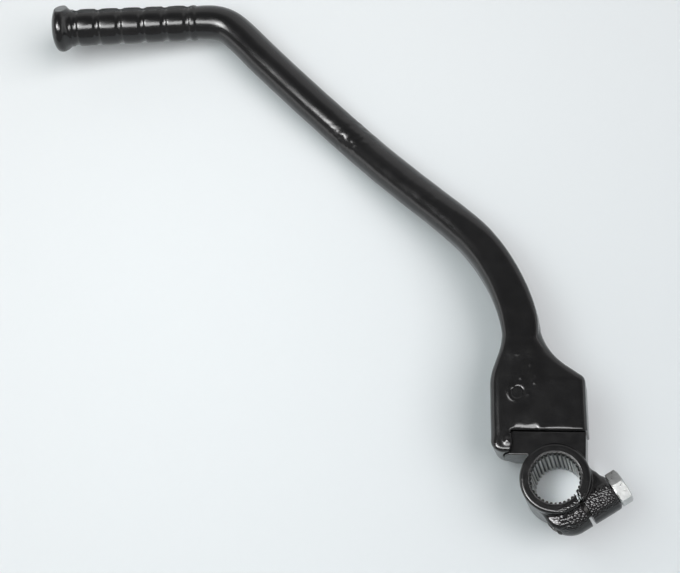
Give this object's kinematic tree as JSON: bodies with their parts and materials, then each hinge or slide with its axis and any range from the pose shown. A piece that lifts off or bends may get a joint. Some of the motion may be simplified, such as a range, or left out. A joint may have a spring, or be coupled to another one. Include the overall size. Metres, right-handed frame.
{
  "type": "folding kick start lever",
  "caption": "Forged cranked kick lever with ribbed foot pedal, folding on a splined split clamp hub with hex pinch bolt.",
  "frame": {"origin": "on the kick shaft's axis at the clamp hub's rear face", "axes": "+Z along the kick shaft away from the engine, +Y along the fold axis up the lever, +X to the right seen from outside"},
  "size_m": [0.2106, 0.1928, 0.0273],
  "materials": {
    "gloss_black": "gloss black paint over forged steel",
    "zinc_steel": "bright zinc plate",
    "ball_steel": "polished bearing steel",
    "spring_steel": "oiled spring wire",
    "seal_rubber": "black nitrile rubber"
  },
  "bodies": {
    "hub": {"clamp_hub": "gloss_black", "pinch_bolt": "zinc_steel", "detent_spring": "spring_steel", "dust_seal": "seal_rubber"},
    "arm": {"kick_arm": "gloss_black", "retaining_pin": "gloss_black"},
    "ball": {"detent_ball": "ball_steel"}
  },
  "joints": [
    {"name": "arm_fold", "type": "hinge", "parent": "hub", "child": "arm", "pos_m": [-0.0056, 0.025, 0.0156], "axis": [0, 1, 0], "range_deg": [0, 90]},
    {"name": "ball_press", "type": "slide", "parent": "hub", "child": "ball", "axis": [0, 0, 1], "range_m": [-0.0009, 0], "stiffness_N_per_m": 3000, "springref_m": 0.002, "deforming": ["detent_spring"]}
  ]
}
